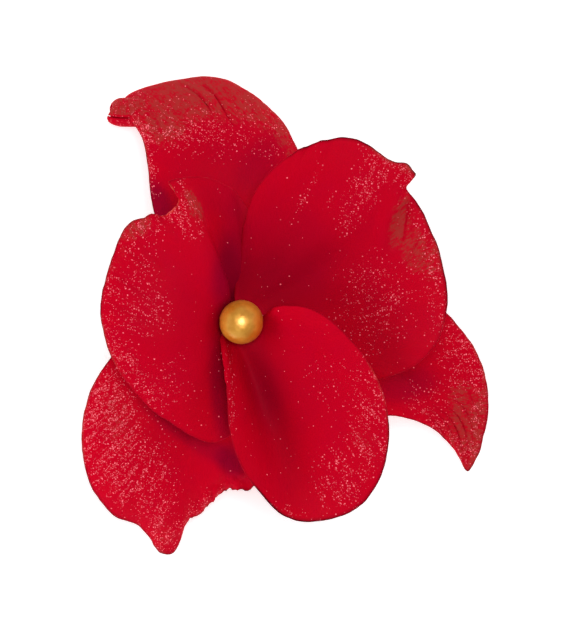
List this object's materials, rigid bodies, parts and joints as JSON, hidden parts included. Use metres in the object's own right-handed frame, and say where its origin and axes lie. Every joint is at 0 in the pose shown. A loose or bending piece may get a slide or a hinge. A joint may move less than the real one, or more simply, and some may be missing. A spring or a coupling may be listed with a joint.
{
  "type": "flower hair clip",
  "caption": "Red clay flower with overlapping curled petals round a gold pearl bead, glued by a felt backing to a sprung alligator hair clip.",
  "frame": {"origin": "centre of the bounding box on the surface that the clip lies on, flower facing up; the flower's own axis, through the pearl, stands at X -8.3 mm, Y -1.3 mm", "axes": "+Z out of the flower's face, the shortest extent; +Y towards the top of the flower, the longest extent; the clip lies along X with its nose towards -X and its finger tails towards +X"},
  "size_m": [0.0746, 0.0891, 0.0327],
  "materials": {
    "petal_clay": "satin",
    "pearl": "pearlescent",
    "felt": "felted",
    "hot_melt_glue": "satin",
    "plated_steel": "nickel plated",
    "rivet_steel": "satin",
    "spring_wire": "drawn wire"
  },
  "bodies": {
    "flower": {"petal_inner_lower": "petal_clay", "petal_inner_upper_right": "petal_clay", "petal_inner_left": "petal_clay", "petal_outer_upper_left": "petal_clay", "petal_outer_lower_left": "petal_clay", "petal_outer_lower_right": "petal_clay", "flower_core": "petal_clay", "pearl_bead": "pearl", "felt_disc": "felt", "clip_glue_pad": "hot_melt_glue", "clip_fixed_arm": "plated_steel", "hinge_pin": "rivet_steel", "torsion_spring": "spring_wire"},
    "jaw": {"clip_moving_arm": "plated_steel"}
  },
  "joints": [
    {"name": "jaw_hinge", "type": "hinge", "parent": "flower", "child": "jaw", "pos_m": [-0.0008, -0.0013, 0.006], "axis": [0, -1, 0], "range_deg": [0, 22], "stiffness_Nm_per_rad": 0.115, "springref_deg": -20.05, "deforming": ["torsion_spring"]}
  ]
}
